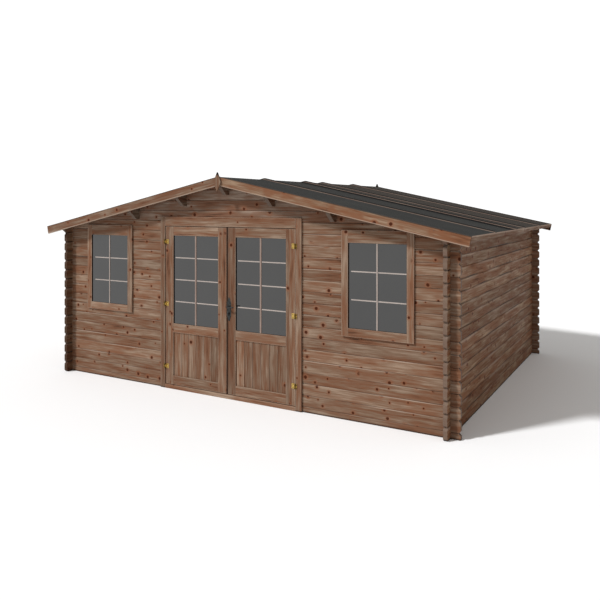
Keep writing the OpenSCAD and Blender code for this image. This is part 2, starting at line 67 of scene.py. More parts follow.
def fade(tree, value, start, end):
    """0 where value is at start, 1 where it is at end, and smooth between them."""
    made = step(tree, "MapRange", {"Value": value, "From Min": start, "From Max": end},
                interpolation_type="SMOOTHSTEP")
    return made.outputs["Result"]


def tint(tree, amount, under, over, how="MIX"):
    """Lays one colour over another."""
    made = step(tree, "Mix", {0: amount}, data_type="RGBA", blend_type=how)
    for place, colour in ((6, under), (7, over)):
        if isinstance(colour, bpy.types.NodeSocket):
            tree.links.new(colour, made.inputs[place])
        else:
            made.inputs[place].default_value = (*colour, 1.0)
    return made.outputs[2]


def object_axes(tree):
    """Places in the cabin's frame, in metres, which go with a piece as it moves."""
    return step(tree, "SeparateXYZ", {0: step(tree, "TexCoord").outputs["Object"]}).outputs


def streaks(tree, place, stretch, detail):
    """Noise drawn out along the grain: place is (along, across, deep), stretch its features in a metre."""
    scaled = [calc(tree, "MULTIPLY", p, s) for p, s in zip(place, stretch)]
    vector = step(tree, "CombineXYZ", dict(enumerate(scaled))).outputs[0]
    return step(tree, "TexNoise", {"Vector": vector, "Scale": 1.0, "Detail": detail}).outputs["Fac"]


def bare_material(name, roughness, specular):
    material = bpy.data.materials.new(name)
    material.use_nodes = True
    shader = material.node_tree.nodes["Principled BSDF"]
    shader.inputs["Roughness"].default_value = roughness
    shader.inputs["Specular IOR Level"].default_value = specular
    return material, material.node_tree, shader


grain_apart = (41.0, 9.0, 7.0)


class Boards:
    """Boards or logs side by side: each has a number, which moves its grain to a place of its own."""

    def __init__(self, tree, along, across, pitch, first, seed, tilt):
        texture = step(tree, "TexCoord")
        turned = step(tree, "Mapping", {"Vector": texture.outputs["Object"], "Rotation": (0.0, tilt, 0.0)})
        axes = step(tree, "SeparateXYZ", {0: turned.outputs[0]}).outputs
        deep = next(a for a in "XYZ" if a not in (along, across))
        count = calc(tree, "DIVIDE", calc(tree, "SUBTRACT", axes[across], first), pitch)
        self.number = calc(tree, "FLOOR", count)
        chance = step(tree, "TexWhiteNoise", {"W": calc(tree, "ADD", self.number, seed)},
                      noise_dimensions="1D")
        self.draw = step(tree, "SeparateColor", {0: chance.outputs["Color"]}).outputs
        self.u, self.v, self.w = (calc(tree, "MULTIPLY_ADD", share, far, axes[axis])
                                  for share, far, axis in zip(self.draw, grain_apart, (along, across, deep)))
        self.deep = axes[deep]
        self.foot = calc(tree, "MULTIPLY", calc(tree, "FRACT", count), pitch)
        self.head = calc(tree, "SUBTRACT", pitch, self.foot)
        self.facing = step(tree, "SeparateXYZ", {0: texture.outputs["Normal"]}).outputs[along]


knot_spacing = 0.17
knot_least = 0.009
knot_most = 0.021
knot_rag = (90, 90, 90)
knot_edge = (1.1, 0.68)
halo_edge = (2.7, 0.8)
cell_edge = 0.25
grain_pull = 0.6


def knots(tree, boards, clear):
    """One knot to a cell, of any size from none up, with a red halo, and its pull on the grain round it."""
    u, v, w = boards.u, boards.v, boards.w
    flat = step(tree, "CombineXYZ", {0: u, 1: v}).outputs[0]
    cells = {"Vector": flat, "Scale": 1 / knot_spacing}
    cell = step(tree, "TexVoronoi", cells, voronoi_dimensions="2D")
    border = step(tree, "TexVoronoi", cells, voronoi_dimensions="2D", feature="DISTANCE_TO_EDGE")
    luck = step(tree, "SeparateColor", {0: cell.outputs["Color"]}).outputs[0]
    size = step(tree, "MapRange", {"Value": luck, "From Min": clear, "From Max": 1.0,
                                   "To Min": knot_least, "To Max": knot_most}).outputs[0]
    radius = calc(tree, "MULTIPLY", size, calc(tree, "GREATER_THAN", luck, clear))
    away = calc(tree, "MULTIPLY", cell.outputs["Distance"], knot_spacing)
    ragged = calc(tree, "MULTIPLY_ADD", streaks(tree, (u, v, w), knot_rag, 2), 0.5, 0.75)
    share = calc(tree, "DIVIDE", calc(tree, "MULTIPLY", away, ragged), radius)
    whole = fade(tree, border.outputs["Distance"], 0.0, cell_edge)
    there = calc(tree, "MULTIPLY", calc(tree, "GREATER_THAN", radius, 0.0), whole)
    knot = calc(tree, "MULTIPLY", fade(tree, share, *knot_edge), there)
    halo = calc(tree, "MULTIPLY", fade(tree, share, *halo_edge), there)
    middle = step(tree, "SeparateXYZ", {0: cell.outputs["Position"]}).outputs[1]
    to_middle = calc(tree, "SUBTRACT", middle, v)
    pull = calc(tree, "MULTIPLY", to_middle, calc(tree, "MULTIPLY", halo, grain_pull))
    return knot, halo, pull


broad_grain = (1.7, 16, 14)
broad_share = 0.44
middle_grain = (3.6, 62, 50)
middle_share = 0.36
fine_grain = (7.0, 290, 240)
fine_share = 0.20
grain_wander = (1.1, 2.0, 2.0)
wander_reach = 0.018


def grain(tree, boards, pull):
    """Streaks along each board that wander and flow round the knots: their figure, and how they stand up."""
    u, v, w = boards.u, boards.v, boards.w
    wander = calc(tree, "MULTIPLY_ADD", streaks(tree, (u, v, w), grain_wander, 1), wander_reach, v)
    bent = calc(tree, "ADD", wander, pull)
    broad = streaks(tree, (u, bent, w), broad_grain, 3)
    middle = streaks(tree, (u, bent, w), middle_grain, 4)
    fine = streaks(tree, (u, bent, w), fine_grain, 2)
    mixed = calc(tree, "ADD", calc(tree, "MULTIPLY", broad, broad_share),
                 calc(tree, "MULTIPLY", middle, middle_share))
    figure = calc(tree, "MULTIPLY_ADD", fine, fine_share, mixed)
    relief = calc(tree, "MULTIPLY_ADD", middle, 0.5, fine)
    return figure, relief


tan_wood = (0.262, 0.184, 0.131)
brown_wood = (0.172, 0.105, 0.068)
red_wood = (0.158, 0.068, 0.035)
dark_wood = (0.058, 0.027, 0.015)
wood_tones = ((0.35, dark_wood), (0.44, red_wood), (0.51, brown_wood), (0.61, tan_wood))
red_patches = (4.0, 11, 8)
patch_edge = (0.47, 0.66)
patch_share = 0.5
board_dark = 0.83
board_range = 0.34
honey_green = 0.07
honey_blue = 0.18


def planed_colour(tree, boards, figure, warmth, tone, honey):
    """The figure in browns, redder in patches, and each board a little lighter or darker than the next."""
    browns = step(tree, "ValToRGB", {0: figure}).outputs[0]
    ramp = browns.node.color_ramp
    for place, colour in wood_tones:
        mark = ramp.elements[0] if colour == dark_wood else ramp.elements.new(place)
        mark.position = place
        mark.color = (*colour, 1.0)
    ramp.elements.remove(ramp.elements[-1])
    patch = streaks(tree, (boards.u, boards.v, boards.w), red_patches, 2)
    redder = calc(tree, "MULTIPLY", fade(tree, patch, *patch_edge), patch_share + warmth)
    rosy = tint(tree, redder, browns, red_wood)
    shade = calc(tree, "MULTIPLY_ADD", boards.draw[1], board_range * tone, board_dark * tone)
    green = calc(tree, "MULTIPLY", shade, 1 - honey_green * honey)
    blue = calc(tree, "MULTIPLY", shade, 1 - honey_blue * honey)
    hue = step(tree, "CombineColor", {0: shade, 1: green, 2: blue}).outputs[0]
    return tint(tree, 1.0, rosy, hue, "MULTIPLY")


# Along the joints: dirt at each board's foot, and a painted highlight along each board's top edge.
joint_luck = (0.9, 1.0, 0.0)
dirt_and_shade_brown = (0.030, 0.018, 0.012)
dirt_full = 0.002
dirt_luck = (0.62, 0.4)
highlight_and_wear_pale = (0.37, 0.285, 0.225)
edge_highlight_full = 0.003
edge_highlight_luck = (0.45, 0.62)


def joint_dirt_and_highlight(tree, boards, colour, dirt, dirt_w, edge_highlight, edge_highlight_w):
    """Dirt gathers along the foot of each board, and its top edge is painted pale in places as a painted
    highlight.
    """
    luck = streaks(tree, (boards.u, boards.number, boards.w), joint_luck, 2)
    dirty = calc(tree, "MULTIPLY", fade(tree, boards.foot, dirt_w, dirt_full), fade(tree, luck, *dirt_luck))
    soiled = tint(tree, calc(tree, "MULTIPLY", dirty, dirt), colour, dirt_and_shade_brown)
    top_highlight = calc(tree, "MULTIPLY", fade(tree, boards.head, edge_highlight_w, edge_highlight_full), fade(tree, luck, *edge_highlight_luck))
    return tint(tree, calc(tree, "MULTIPLY", top_highlight, edge_highlight), soiled, highlight_and_wear_pale)


sawn_dark = (0.030, 0.016, 0.010)
sawn_pale = (0.095, 0.056, 0.036)
treated_cut = (sawn_dark, sawn_pale)
end_turn = (0.5, 0.65)
end_share = 0.8
pith_apart = 0.2
ring_turns = 1400.0


def sawn_ends(tree, boards, colour, cut):
    """Growth rings on the sawn ends and their bevels."""
    end = fade(tree, calc(tree, "ABSOLUTE", boards.facing), *end_turn)
    up = calc(tree, "MULTIPLY_ADD", boards.draw[2], pith_apart, boards.foot)
    squares = calc(tree, "ADD", calc(tree, "POWER", up, 2.0), calc(tree, "POWER", boards.deep, 2.0))
    wave = calc(tree, "SINE", calc(tree, "MULTIPLY", calc(tree, "SQRT", squares), ring_turns))
    rings = tint(tree, calc(tree, "MULTIPLY_ADD", wave, 0.5, 0.5), *cut)
    return tint(tree, calc(tree, "MULTIPLY", end, end_share), colour, rings)


knot_wood = (0.050, 0.010, 0.001)
knot_halo = (0.190, 0.070, 0.032)
halo_share = 0.65
knot_rise = 0.6
wood_relief = 0.0012
trim_clear = 0.62
pale_foot_w = 0.013
pale_foot_full = 0.006


def treated_timber(name, along, across, pitch, first=0.0, seed=0.0, tilt=0.0, joint=0.0, dirt_w=0.009,
                   edge_highlight=None, edge_highlight_w=0.012, warmth=0.0, tone=1.0, honey=0.0, cut=treated_cut, pale_foot=0.0,
                   clear=trim_clear):
    """Brown softwood: its grain runs along one axis, in boards of one pitch that lie across another."""
    material, tree, shader = bare_material(name, roughness=0.62, specular=0.12)
    boards = Boards(tree, along, across, pitch, first, seed, tilt)
    knot, halo, pull = knots(tree, boards, clear)
    figure, relief = grain(tree, boards, pull)
    planed = planed_colour(tree, boards, figure, warmth, tone, honey)
    haloed = tint(tree, calc(tree, "MULTIPLY", halo, halo_share), planed, knot_halo)
    knotted = tint(tree, knot, haloed, knot_wood)
    # joint dirt, and a painted highlight along the top edges
    wear_and_highlight = joint_dirt_and_highlight(tree, boards, knotted, joint, dirt_w, joint if edge_highlight is None else edge_highlight, edge_highlight_w)
    colour = sawn_ends(tree, boards, wear_and_highlight, cut)
    if pale_foot:
        # paler along the lower edge
        paler_foot = fade(tree, boards.foot, pale_foot_w, pale_foot_full)
        colour = tint(tree, calc(tree, "MULTIPLY", paler_foot, pale_foot), colour, highlight_and_wear_pale)
    rough = step(tree, "MapRange", {"Value": figure, "From Min": 0.35, "From Max": 0.65,
                                    "To Min": 0.78, "To Max": 0.55}).outputs[0]
    raised = calc(tree, "MULTIPLY_ADD", knot, knot_rise, relief)
    bump = step(tree, "Bump", {"Strength": 0.55, "Distance": wood_relief, "Height": raised}).outputs[0]
    for key, value in (("Base Color", colour), ("Roughness", rough), ("Normal", bump)):
        tree.links.new(value, shader.inputs[key])
    return material


def lay_over(material, amount, cover):
    """Lays one more colour over a finished material."""
    tree = material.node_tree
    colour = tree.nodes["Principled BSDF"].inputs["Base Color"]
    fresh = colour.links[0].from_socket
    tree.links.new(tint(tree, amount, fresh, cover), colour)


def cover_between(material, axis, start, end, soft, cover, share=1.0):
    """Lays a colour over a material between two planes square to an axis."""
    tree = material.node_tree
    place = object_axes(tree)[axis]
    past_start = fade(tree, place, start, start + soft)
    before_end = fade(tree, place, end, end - soft)
    inside = calc(tree, "MULTIPLY", past_start, before_end)
    lay_over(material, calc(tree, "MULTIPLY", inside, share), cover)


ground_shade_h = 0.018
ground_shade_soft = ground_shade_h / 2
ground_shade_share = 0.8
below_ground = -0.1


def ground_contact_shade(material):
    """Paints shade along the foot of what stands on the ground, where it meets the floor."""
    cover_between(material, "Z", below_ground, ground_shade_h, ground_shade_soft, dirt_and_shade_brown, ground_shade_share)


end_shade_w = 0.02
end_shade_share = 0.45


def end_shade_past_corners(material):
    """Paints shade on the ends of the side walls' logs where they stand past the corners."""
    tree = material.node_tree
    beyond = fade(tree, calc(tree, "ABSOLUTE", object_axes(tree)["Y"]), wall_face, wall_face + end_shade_w)
    lay_over(material, calc(tree, "MULTIPLY", beyond, end_shade_share), sawn_dark)


def dress(node, *materials):
    """Gives a CAD node its finishes, the first of them on every face."""
    mesh = nodes[node].data
    mesh.materials.clear()
    for material in materials:
        mesh.materials.append(material)


log_clear = 0.32
fresh_cut = ((0.085, 0.058, 0.044), (0.185, 0.135, 0.108))
for node, seed, tone, honey, cut in (("front_logs_left", 7.0, 0.985, 0.0, treated_cut),
                                     ("front_logs_right", 38.0, 0.965, 0.0, fresh_cut),
                                     ("front_gable_logs", 69.0, 1.08, -0.8, treated_cut)):
    log_timber = treated_timber(f"log_{node}", "X", "Z", course, half_log, seed, joint=0.7, tone=tone,
                                honey=honey, cut=cut, clear=log_clear)
    ground_contact_shade(log_timber)
    dress(node, log_timber)
rear_timber = treated_timber("log_rear", "X", "Z", course, half_log, seed=211.0, joint=0.6, clear=log_clear)
ground_contact_shade(rear_timber)
dress("rear_wall_logs", rear_timber)
dress("rear_gable_logs", rear_timber)
# The side walls' logs are warmer than the front's (warmth and honey): a painted tint for the hue of their
# shade.
for word, seed, cut in (("left", 307.0, treated_cut), ("right", 401.0, fresh_cut)):
    log_timber = treated_timber(f"log_{word}_wall", "Y", "Z", course, seed=seed, joint=1.4, dirt_w=0.019,
                                edge_highlight=0.55, edge_highlight_w=0.04, warmth=0.2, honey=1.3, cut=cut, clear=log_clear)
    if word == "left":
        end_shade_past_corners(log_timber)
    ground_contact_shade(log_timber)
    dress(f"{word}_wall_logs", log_timber)

# Purlins. Five planed beams that lie in slots in both gables and carry the roof. Their ends run out to the
# bargeboards and are sawn back on a slant.
purlin_gap = 0.4
purlin_cut = ((0.080, 0.060, 0.048), (0.17, 0.13, 0.105))
# The purlins are darker all over (tone): painted shade for the shadow of the bargeboards and eaves. Their
# sawn ends are paler.
purlin_timber = treated_timber("purlin_timber", "Y", "X", purlin_gap, purlin_gap / 2, seed=503.0, tone=0.6,
                               cut=purlin_cut)
dress("ridge_purlin", purlin_timber)
dress("side_purlins", purlin_timber)

# Roof boards. Tongue and groove boards nailed down on the purlins from ridge to eave, side by side, with a V
# at each joint on the side that shows from the room.
roof_pitch = math.radians(12)
board_t = 0.018
board_w = 0.0955
board_gap = 0.0006
board_v = 0.004


class Pile:
    """Points and faces of many solids that are joined in one mesh."""

    def __init__(self):
        self.points = []
        self.faces = []

    def prism(self, outline, start, end, across, up, taper=1.0):
        """A bar with a closed outline of (across, up) pairs, counter-clockwise seen from its end."""
        first = len(self.points)
        n = len(outline)
        for base, share in ((start, 1.0), (end, taper)):
            self.points += [base + share * (a * across + b * up) for a, b in outline]
        self.faces.append([first + i for i in reversed(range(n))])
        self.faces.append([first + n + i for i in range(n)])
        for i in range(n):
            j = (i + 1) % n
            self.faces.append([first + i, first + j, first + n + j, first + n + i])


def mesh_piece(name, pile, body, material):
    """A pile's mesh on a body, with the finish that it takes."""
    mesh = bpy.data.meshes.new(name)
    mesh.from_pydata(pile.points, [], pile.faces)
    mesh.update()
    mesh.materials.append(material)
    piece = bpy.data.objects.new(name, mesh)
    bpy.context.scene.collection.objects.link(piece)
    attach(piece, body)
    return piece


def slope_line(side, word):
    """The roof's underside: its top at the ridge, its foot at the eave, and the way square to it."""
    low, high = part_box(f"roof_boards_{word}")
    near = low.x if side > 0 else -high.x
    far = (high.x if side > 0 else -low.x) - board_t * math.sin(roof_pitch)
    top_z = high.z - board_t / math.cos(roof_pitch)
    foot_z = top_z - (far - near) * math.tan(roof_pitch)
    out = Vector((side * math.sin(roof_pitch), 0.0, math.cos(roof_pitch)))
    return Vector((side * near, 0.0, top_z)), Vector((side * far, 0.0, foot_z)), out


for side, word, seed in ((-1, "left", 550.0), (1, "right", 650.0)):
    top, foot, out = slope_line(side, word)
    ends = (top, foot) if side > 0 else (foot, top)
    low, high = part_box(f"roof_boards_{word}")
    number = round((high.y - low.y) / board_w)
    width = (high.y - low.y) / number
    outline = [(board_v, 0), (width - board_gap - board_v, 0), (width - board_gap, board_v),
               (width - board_gap, board_t), (0, board_t), (0, board_v)]
    boarding = Pile()
    for i in range(number):
        along_y = Vector((0, low.y + i * width, 0))
        boarding.prism(outline, ends[0] + along_y, ends[1] + along_y, Vector((0, 1, 0)), out)
    board_timber = treated_timber(f"roof_board_{word}", "X", "Y", width, low.y, seed,
                                  tilt=-side * roof_pitch)
    piece = mesh_piece(f"roof_boarding_{word}", boarding, "cabin", board_timber)
    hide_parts(f"roof_boards_{word}")

# Roof felt. Bitumen felt faced with dark mineral grit. The real felt is laid in strips a metre wide that lap
# under the battens, and the source has it as one sheet on each slope.
felt_grit = (0.031, 0.032, 0.031)
felt_pale = (0.052, 0.052, 0.050)
felt_dust = (0.047, 0.039, 0.033)
lap_shade_black = (0.002, 0.002, 0.002)
grit_fine = 420.0
grit_rise = 0.001
speck_share = 0.7
worn_fine = 2.2
worn_edge = (0.45, 0.75)
worn_share = 0.45
lap_y = -0.263
lap_w = 0.22
lap_shade_share = 0.95
dust_soft = 0.02
dust_share = 0.85


def clouds(tree, fine, detail):
    """Noise over a piece, alike in every direction."""
    place = step(tree, "TexCoord").outputs["Object"]
    return step(tree, "TexNoise", {"Vector": place, "Scale": fine, "Detail": detail}).outputs["Fac"]


felt, tree, shader = bare_material("mineral_felt", roughness=0.9, specular=0.08)
place = step(tree, "TexCoord").outputs["Object"]
grit = step(tree, "TexVoronoi", {"Vector": place, "Scale": grit_fine}).outputs["Color"]
speck = step(tree, "SeparateColor", {0: grit}).outputs[0]
pale_specks = calc(tree, "MULTIPLY", calc(tree, "POWER", speck, 3.0), speck_share)
speckled = tint(tree, pale_specks, felt_grit, felt_pale)
wear_and_highlight = calc(tree, "MULTIPLY", fade(tree, clouds(tree, worn_fine, 4.0), *worn_edge), worn_share)
worn_felt = tint(tree, wear_and_highlight, speckled, felt_pale)
# dust lies on the rear half, and a black band at one lap in front of it is painted shade for the batten
# there
y = object_axes(tree)["Y"]
dust = calc(tree, "MULTIPLY", fade(tree, y, lap_y, lap_y + dust_soft), dust_share)
dusty = tint(tree, dust, worn_felt, felt_dust)
from_lap = calc(tree, "ABSOLUTE", calc(tree, "SUBTRACT", y, lap_y - lap_w / 2))
lap_shade = calc(tree, "MULTIPLY", calc(tree, "LESS_THAN", from_lap, lap_w / 2), lap_shade_share)
tree.links.new(tint(tree, lap_shade, dusty, lap_shade_black), shader.inputs["Base Color"])
bump = step(tree, "Bump", {"Strength": 0.6, "Distance": grit_rise, "Height": speck}).outputs[0]
tree.links.new(bump, shader.inputs["Normal"])
dress("roof_felt_left", felt)
dress("roof_felt_right", felt)

# Battens and eave strips. Thin planed strips: the battens hold the laps down the slope, and felt is folded
# over them down to the lowest few millimetres. An eave strip covers the ends of the roof boards.
batten_gap = 0.3
batten_first = 0.1
bare_foot = 0.008
felt_fold = (0.018, 0.017, 0.016)
fold_soft = 0.001
batten_grey = (0.215, 0.168, 0.147)
grey_share = 0.7
grey_from = 0.05
eave_pale = 0.013
eave_soft = 0.003
eave_share = 0.45
one_board = (9.0, -4.0)


def cover_above(material, level, soft, cover, slope=0.0, share=1.0):
    """Lays a colour over a material above a level, which may fall from the ridge with the roof's slope."""
    tree = material.node_tree
    axes = object_axes(tree)
    height = calc(tree, "MULTIPLY_ADD", calc(tree, "ABSOLUTE", axes["X"]), math.tan(slope), axes["Z"])
    lay_over(material, calc(tree, "MULTIPLY", fade(tree, height, level, level + soft), share), cover)


felt_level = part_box("roof_felt_right")[1].z
for side, word, seed in ((-1, "left", 660.0), (1, "right", 740.0)):
    batten_timber = treated_timber(f"batten_{word}", "X", "Y", batten_gap, batten_first, seed,
                                   tilt=-side * roof_pitch, warmth=-0.5)
    cover_above(batten_timber, felt_level - grey_from, fold_soft, batten_grey, roof_pitch, grey_share)
    cover_above(batten_timber, felt_level + bare_foot, fold_soft, felt_fold, roof_pitch)
    dress(f"roof_battens_{word}", batten_timber)
    eave_timber = treated_timber(f"eave_strip_{word}", "Y", "X", *one_board, seed + 9, tone=0.75, honey=1.0)
    eave_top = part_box(f"eave_strip_{word}")[1].z
    # a pale band along the strip's top is a painted highlight, where the sun falls on its top face
    cover_above(eave_timber, eave_top - eave_pale, eave_soft, highlight_and_wear_pale, share=eave_share)
    dress(f"eave_strip_{word}", eave_timber)

# Bargeboards and finials. Planed boards along the gable ends of the roof, with two nails beside the ridge,
# over each side purlin and near the eave, and a diamond board over the joint at each peak. The finials' tips
# and the rear boards' top edges are dark, and the rear boards are darker all over and at their outer ends as
# painted shade.
edge_plane = 0.003
barge_h = 0.098
barge_foot = 0.6
folded_over = 0.008
fold_share = 0.8
barge_soft = 0.002
# the rear boards are darker all over: painted shade
rear_tone = 0.6
tip_dark = (0.012, 0.010, 0.008)
tip_w = 0.035
tip_soft = 0.004
tip_share = 0.9
past_tip = 1.0
rear_finial_dark = 0.03
finial_soft = 0.025
nail_grey = (0.10, 0.095, 0.09)
nail_rust = (0.055, 0.026, 0.014)
nail_r = 0.0035
nail_sides = 10
nail_rise = 0.0012
nail_taper = 0.7
nail_apart = 0.046
nail_places = (0.16, 0.595, 1.32, 2.4)


def ease(node, width):
    """Planes the sharp edges of a CAD node off, as a modifier over its own mesh."""
    weld = nodes[node].modifiers.new("weld", "WELD")
    weld.merge_threshold = 0.00001
    bevel = nodes[node].modifiers.new("eased_edges", "BEVEL")
    bevel.width = width
    bevel.segments = 2
    bevel.angle_limit = math.radians(40)


def ring_outline(radius, sides):
    return [(radius * math.cos(math.tau * i / sides), radius * math.sin(math.tau * i / sides))
            for i in range(sides)]


def mottled(name, clean, spots, roughness, specular, fine, detail, spread=None, metal=0.0, rise=0.0):
    """A finish of two colours in clouds: spread is where the second one starts and is full."""
    material, tree, shader = bare_material(name, roughness, specular)
    shader.inputs["Metallic"].default_value = metal
    cloud = clouds(tree, fine, detail)
    share = fade(tree, cloud, *spread) if spread else cloud
    tree.links.new(tint(tree, share, clean, spots), shader.inputs["Base Color"])
    if rise:
        bump = step(tree, "Bump", {"Strength": 0.2, "Distance": rise, "Height": cloud}).outputs[0]
        tree.links.new(bump, shader.inputs["Normal"])
    return material


nail_steel = mottled("nail_steel", nail_grey, nail_rust, roughness=0.5, specular=0.4, fine=300.0, detail=3.0,
                     spread=(0.4, 0.6), metal=0.6)
for end, far, way in (("front", 0.0, -1), ("rear", 100.0, 1)):
    heads = Pile()
    for side, word, seed, tone, warmth, honey in ((-1, "left", 770.0, 0.82, 0.0, 0.0),
                                                  (1, "right", 830.0, 0.92, 0.4, 0.6)):
        node = f"bargeboard_{end}_{word}"
        low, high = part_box(node)
        barge_timber = treated_timber(node, "X", "Z", barge_h, high.z * math.cos(roof_pitch) - barge_h,
                                      seed + far, tilt=-side * roof_pitch, warmth=warmth, honey=honey,
                                      tone=tone if end == "front" else rear_tone, pale_foot=barge_foot)
        if end == "front":
            cover_above(barge_timber, high.z - folded_over, barge_soft, felt_fold, roof_pitch, fold_share)
        else:
            cover_above(barge_timber, felt_level, barge_soft, tip_dark, roof_pitch)
            # the rear boards' outer ends are darkened as painted shade
            tip = (high.x - tip_w, high.x + past_tip) if side > 0 else (low.x - past_tip, low.x + tip_w)
            cover_between(barge_timber, "X", *tip, tip_soft, tip_dark, tip_share)
        dress(node, barge_timber)
        ease(node, edge_plane)
        face = low.y if way < 0 else high.y
        for x in nail_places:
            middle = high.z - x * math.tan(roof_pitch) - barge_h / 2 / math.cos(roof_pitch)
            for up in (-nail_apart / 2, nail_apart / 2):
                foot = Vector((side * x, face, middle + up))
                heads.prism(ring_outline(nail_r, nail_sides), foot, foot + Vector((0, way * nail_rise, 0)),
                            Vector((-way, 0, 0)), Vector((0, 0, 1)), nail_taper)
    mesh_piece(f"bargeboard_nails_{end}", heads, "cabin", nail_steel)
    finial_timber = treated_timber(f"finial_{end}", "Z", "X", *one_board, 860.0 + far)
    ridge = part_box(f"bargeboard_{end}_right")[1].z
    cover_above(finial_timber, ridge if end == "front" else ridge - rear_finial_dark, finial_soft, tip_dark)
    dress(f"finial_{end}", finial_timber)
    ease(f"finial_{end}", edge_plane)

# Door frame. Planed jambs and a head that grip the log ends in grooves, strips for the leaves to close on,
# and a threshold between the jambs. The edges are painted pale, as a painted highlight.
rim_w = 0.016
rim_turn = (0.995, 0.92)
rim_share = 0.35
front_turn = (0.8, 0.95)
rail_gap = 0.5


def paint_edge_highlights(material):
    """Paints a pale highlight on edges on the front and the back, where a face turns away from a rounded
    copy of itself.
    """
    tree = material.node_tree
    rounded = step(tree, "Bevel", {"Radius": rim_w}, samples=6).outputs[0]
    flat_face = step(tree, "NewGeometry").outputs["True Normal"]
    agree = step(tree, "VectorMath", {0: rounded, 1: flat_face}, operation="DOT_PRODUCT").outputs["Value"]
    turn = step(tree, "SeparateXYZ", {0: flat_face}).outputs["Y"]
    shown = fade(tree, calc(tree, "ABSOLUTE", turn), *front_turn)
    edge = calc(tree, "MULTIPLY", fade(tree, agree, *rim_turn), shown)
    lay_over(material, calc(tree, "MULTIPLY", edge, rim_share), highlight_and_wear_pale)


for word, seed, tone in (("left", 901.0, 0.92), ("right", 917.0, 0.88)):
    jamb_timber = treated_timber(f"jamb_{word}", "Z", "X", *one_board, seed, tone=tone)
    paint_edge_highlights(jamb_timber)
    ground_contact_shade(jamb_timber)
    dress(f"door_jamb_{word}", jamb_timber)
    ease(f"door_jamb_{word}", edge_plane)
head_timber = treated_timber("door_head_timber", "X", "Z", rail_gap, seed=931.0)
paint_edge_highlights(head_timber)
for node in ("door_head", "door_threshold"):
    dress(node, head_timber)
    ease(node, edge_plane)
dress("door_stops", treated_timber("door_stop_timber", "Z", "X", *one_board, 947.0))

# Door leaves. Stiles from top to bottom with three rails between them, a panel of upright boards below, and
# a glazed light above. The grain follows each bar, so stiles and rails have finishes of their own.
stile_gap = 0.4
tongue = 0.009
panel_boards = 6
leaf_plane = 0.001
meeting_x = -0.01
meeting_w = 0.017
meeting_soft = 0.004
meeting_shade = (0.026, 0.011, 0.005)
meeting_share = 0.95


def frame_timbers(upright_name, level_name, seed, tone=1.0):
    """Finishes for the upright and the level bars of a leaf or window."""
    upright = treated_timber(upright_name, "Z", "X", stile_gap, seed=seed, tone=tone)
    level = treated_timber(level_name, "X", "Z", rail_gap, seed=seed + 13)
    paint_edge_highlights(upright)
    paint_edge_highlights(level)
    return upright, level


def dress_bars(node, upright, level, left, right):
    """Gives the upright bars of a frame one finish, and the level bars between left and right the other."""
    dress(node, upright, level)
    for face in nodes[node].data.polygons:
        face.material_index = 1 if left < face.center.x < right else 0
    ease(node, leaf_plane)


for word, seed, stile_tone, panel_tone in (("left", 1001.0, 0.95, 0.88), ("right", 1051.0, 0.84, 0.97)):
    low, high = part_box(f"{word}_leaf_frame")
    inner_low, inner_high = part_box(f"{word}_leaf_panel")
    upright, level = frame_timbers(f"stile_{word}", f"rail_{word}", seed, stile_tone)
    if word == "right":
        # a dark band on the right stile beside the gap between the leaves is painted shade, widening the
        # gap's shade
        cover_between(upright, "X", meeting_x, low.x + meeting_w, meeting_soft, meeting_shade, meeting_share)
    dress_bars(f"{word}_leaf_frame", upright, level, inner_low.x + tongue, inner_high.x - tongue)
    board = (inner_high.x - inner_low.x - 2 * tongue) / panel_boards
    panel_timber = treated_timber(f"panel_{word}", "Z", "X", board, inner_low.x + tongue, seed + 27,
                                  joint=0.7, tone=panel_tone)
    dress(f"{word}_leaf_panel", panel_timber)

# Windows. Fixed lights in frames made like the door's: jambs that grip the logs, with a head and a sill rail
# between them.
for word, seed in (("left", 1101.0), ("right", 1151.0)):
    glass_low, glass_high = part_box(f"{word}_window_glass")
    upright, level = frame_timbers(f"window_jamb_{word}", f"window_rail_{word}", seed)
    dress_bars(f"{word}_window_frame", upright, level, glass_low.x + tongue, glass_high.x - tongue)

# Glass. Float glass in sheets 4 mm thick, bedded in grooves close behind the faces of the leaves and
# windows. The panes are opaque, and their black is painted shade for the dark room behind; they mirror the
# pale ground in grey, under a thin film of dust.
glass_dark = (0.004, 0.004, 0.004)
glass_dust = (0.012, 0.012, 0.011)
glass = mottled("window_glass", glass_dark, glass_dust, roughness=0.03, specular=1.0, fine=3.0, detail=3.0)
for node in ("left_leaf_glass", "right_leaf_glass", "left_window_glass", "right_window_glass"):
    dress(node, glass)

# Glazing strips. Black-painted steel strips pressed into the opening in front of the glass, one along each
# side. The left one is wider: its black is painted shade for the shaded reveal at the left edge of each
# pane.
strip_t = 0.0016
left_shade_strip_w = 0.010
strip_deep = 0.0052
strip_gap = 0.0003
strip_fold = strip_t * 0.4
strip_lip = strip_deep * 0.8
strip_paint_and_shade = (0.010, 0.005, 0.003)
strip_worn = (0.020, 0.012, 0.007)


def painted(name, paint, wear_and_highlight, roughness=0.4, specular=0.3):
    """Paint that is worn in places, with a slight relief."""
    return mottled(name, paint, wear_and_highlight, roughness, specular, fine=45.0, detail=5.0, spread=(0.45, 0.68),
                   rise=0.0004)


def strip_edge(wide):
    """A strip's outline: its width from the frame, its height off the glass, its inner edge folded down."""
    return [(0, 0), (wide, 0), (wide, strip_lip), (wide - strip_fold, strip_deep), (0, strip_deep)]


